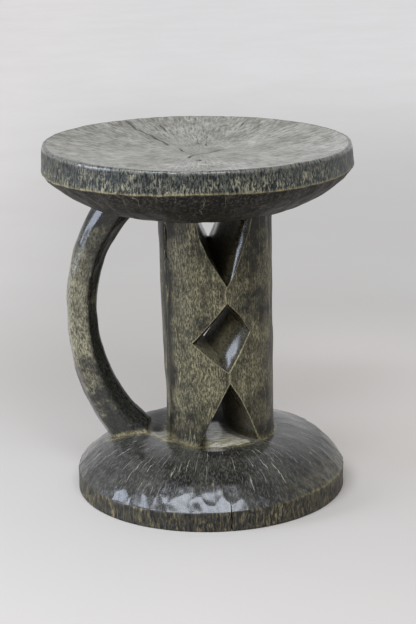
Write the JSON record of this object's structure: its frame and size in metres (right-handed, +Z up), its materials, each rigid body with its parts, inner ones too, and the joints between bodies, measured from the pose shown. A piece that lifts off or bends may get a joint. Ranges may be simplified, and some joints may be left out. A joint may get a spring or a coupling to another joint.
{
  "type": "carved round stool",
  "caption": "Low hand-carved hardwood stool: dished round seat on a pierced round column, with a bowed side handle and a domed round base.",
  "frame": {"origin": "centre of the base's flat underside", "axes": "+Z up to the seat, Y through the openings of the column with the front at -Y, handle on the -X side, turned 17 degrees towards the back"},
  "size_m": [0.2752, 0.2752, 0.3196],
  "materials": {
    "seat_wood": "stained hardwood, worn and dusty on the dish, waxy on the rim",
    "post_wood": "stained hardwood with pale grain flecks, satin",
    "handle_wood": "stained hardwood, polished by hands",
    "base_wood": "blackened hardwood with glossy tool facets"
  },
  "bodies": {
    "root": {"seat": "seat_wood", "left_post": "post_wood", "right_post": "post_wood", "handle": "handle_wood", "base": "base_wood"}
  },
  "joints": []
}
